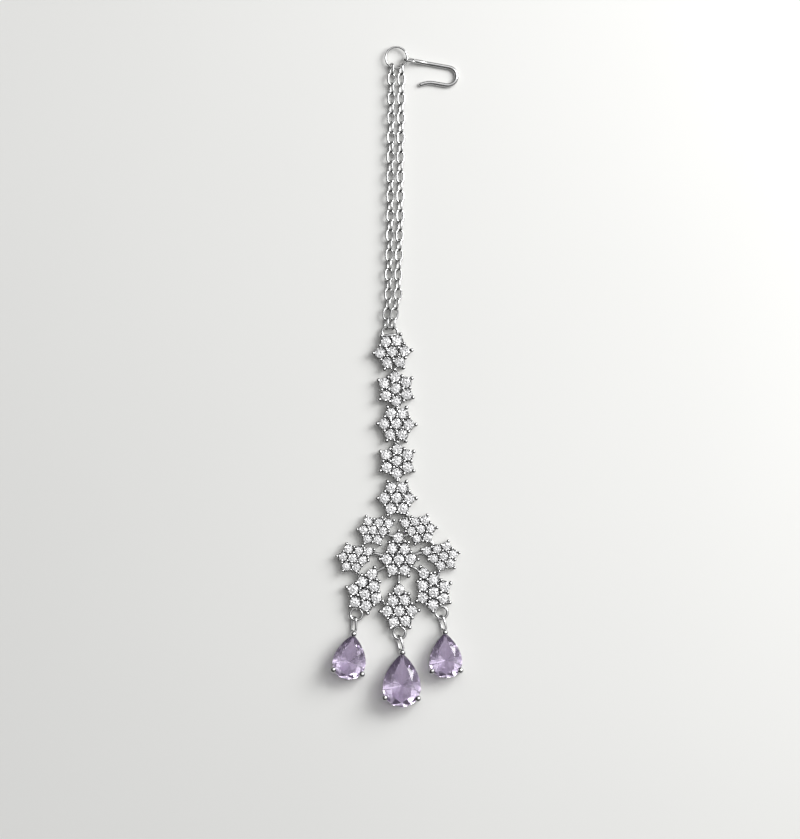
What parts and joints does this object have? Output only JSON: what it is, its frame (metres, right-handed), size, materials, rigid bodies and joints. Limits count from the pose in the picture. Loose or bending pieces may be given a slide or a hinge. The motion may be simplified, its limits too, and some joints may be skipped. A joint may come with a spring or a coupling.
{
  "type": "maang tikka",
  "caption": "Head jewel: a strip of round-stone flowers on a double link chain with a hair hook, a lacy flower pendant and pear drops.",
  "frame": {"origin": "centre of the foot of the bounding box: the jewel's back lies on z = 0", "axes": "+X across the jewel, +Y along it from the drops to the hair hook, +Z out of its face"},
  "size_m": [0.0244, 0.1224, 0.0042],
  "materials": {
    "bright_metal": "bright rhodium-like plate on the settings, chains and wires",
    "set_stones": "clear faceted stones in a bright plated setting",
    "lilac_stone": "polished faceted lilac stone"
  },
  "bodies": {
    "root": {"chain_left": "bright_metal", "chain_right": "bright_metal", "end_ring": "bright_metal", "hair_hook": "bright_metal", "strip_flower_1": "set_stones", "strip_flower_2": "set_stones", "strip_flower_3": "set_stones", "strip_flower_4": "set_stones", "strip_flower_5": "set_stones", "strip_ring_1": "bright_metal", "strip_ring_2": "bright_metal", "strip_ring_3": "bright_metal", "strip_ring_4": "bright_metal", "pendant_ring_left": "bright_metal", "pendant_ring_right": "bright_metal", "pendant_cluster": "set_stones", "drop_setting_left": "bright_metal", "drop_setting_centre": "bright_metal", "drop_setting_right": "bright_metal", "drop_stone_left": "lilac_stone", "drop_stone_centre": "lilac_stone", "drop_stone_right": "lilac_stone"}
  },
  "joints": []
}
